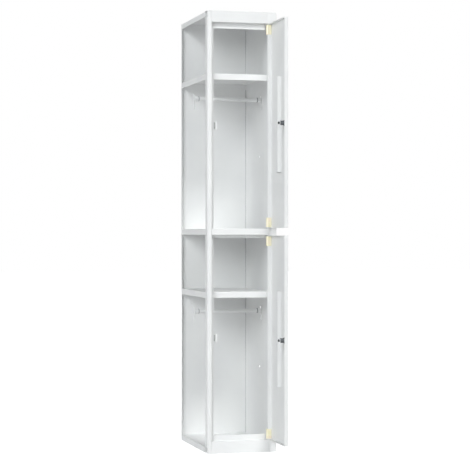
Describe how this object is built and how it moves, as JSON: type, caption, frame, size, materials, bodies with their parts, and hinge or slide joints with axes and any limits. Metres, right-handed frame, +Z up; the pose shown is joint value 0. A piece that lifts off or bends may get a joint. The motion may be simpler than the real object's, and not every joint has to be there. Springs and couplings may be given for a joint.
{
  "type": "mudroom locker unit",
  "caption": "Tall white steel locker bay in stacked tiers, one side open for joining, each tier with a hat shelf, a hanging rod and a lockable door on concealed hinges.",
  "frame": {"origin": "middle of the case's width and depth at floor level", "axes": "+X to the hinge side, +Y to the back panel, +Z up"},
  "size_m": [0.3, 0.7255, 1.85],
  "materials": {
    "white_paint": "satin powder coat",
    "zinc_steel": "bright zinc",
    "yellow_zinc_steel": "yellow passivated zinc",
    "lock_chrome": "polished",
    "dark_steel": "dark zinc"
  },
  "bodies": {
    "case": {"left_post": "white_paint", "right_post": "white_paint", "top_rail": "white_paint", "middle_rail": "white_paint", "base_rail": "white_paint", "back_panel": "white_paint", "side_panel": "white_paint", "roof_panel": "white_paint", "floor_panel": "white_paint", "divider_shelf": "white_paint", "upper_hat_shelf": "white_paint", "upper_hanging_rod": "white_paint", "upper_rod_bracket_left": "white_paint", "upper_rod_bracket_right": "white_paint", "upper_rod_screw_low": "white_paint", "upper_rod_screw_high": "white_paint", "upper_lock_keeper": "white_paint", "upper_bottom_hinge_bracket": "zinc_steel", "upper_bottom_hinge_pin": "zinc_steel", "upper_top_hinge_bracket": "zinc_steel", "upper_top_hinge_pin": "zinc_steel", "lower_hat_shelf": "white_paint", "lower_hanging_rod": "white_paint", "lower_rod_bracket_left": "white_paint", "lower_rod_bracket_right": "white_paint", "lower_rod_screw_low": "white_paint", "lower_rod_screw_high": "white_paint", "lower_lock_keeper": "white_paint", "lower_bottom_hinge_bracket": "zinc_steel", "lower_bottom_hinge_pin": "zinc_steel", "lower_top_hinge_bracket": "zinc_steel", "lower_top_hinge_pin": "zinc_steel"},
    "upper_door": {"upper_door_pan": "white_paint", "upper_door_stiffener": "white_paint", "upper_bottom_hinge_arm": "yellow_zinc_steel", "upper_top_hinge_arm": "yellow_zinc_steel", "upper_lock_barrel": "lock_chrome", "upper_lock_nut": "dark_steel"},
    "upper_lock": {"upper_key_plug": "lock_chrome", "upper_lock_cam": "zinc_steel", "upper_cam_nut": "dark_steel"},
    "lower_door": {"lower_door_pan": "white_paint", "lower_door_stiffener": "white_paint", "lower_bottom_hinge_arm": "yellow_zinc_steel", "lower_top_hinge_arm": "yellow_zinc_steel", "lower_lock_barrel": "lock_chrome", "lower_lock_nut": "dark_steel"},
    "lower_lock": {"lower_key_plug": "lock_chrome", "lower_lock_cam": "zinc_steel", "lower_cam_nut": "dark_steel"}
  },
  "joints": [
    {"name": "upper_door_hinge", "type": "hinge", "parent": "case", "child": "upper_door", "pos_m": [0.1215, -0.235, 1.37125], "axis": [0, 0, 1], "range_deg": [-90, 6]},
    {"name": "upper_lock_turn", "type": "hinge", "parent": "upper_door", "child": "upper_lock", "pos_m": [0.11, -0.4475, 1.37125], "axis": [-1, 0, 0], "range_deg": [0, 90]},
    {"name": "lower_door_hinge", "type": "hinge", "parent": "case", "child": "lower_door", "pos_m": [0.1215, -0.235, 0.48275], "axis": [0, 0, 1], "range_deg": [-90, 6]},
    {"name": "lower_lock_turn", "type": "hinge", "parent": "lower_door", "child": "lower_lock", "pos_m": [0.11, -0.4475, 0.48275], "axis": [-1, 0, 0], "range_deg": [0, 90]}
  ]
}
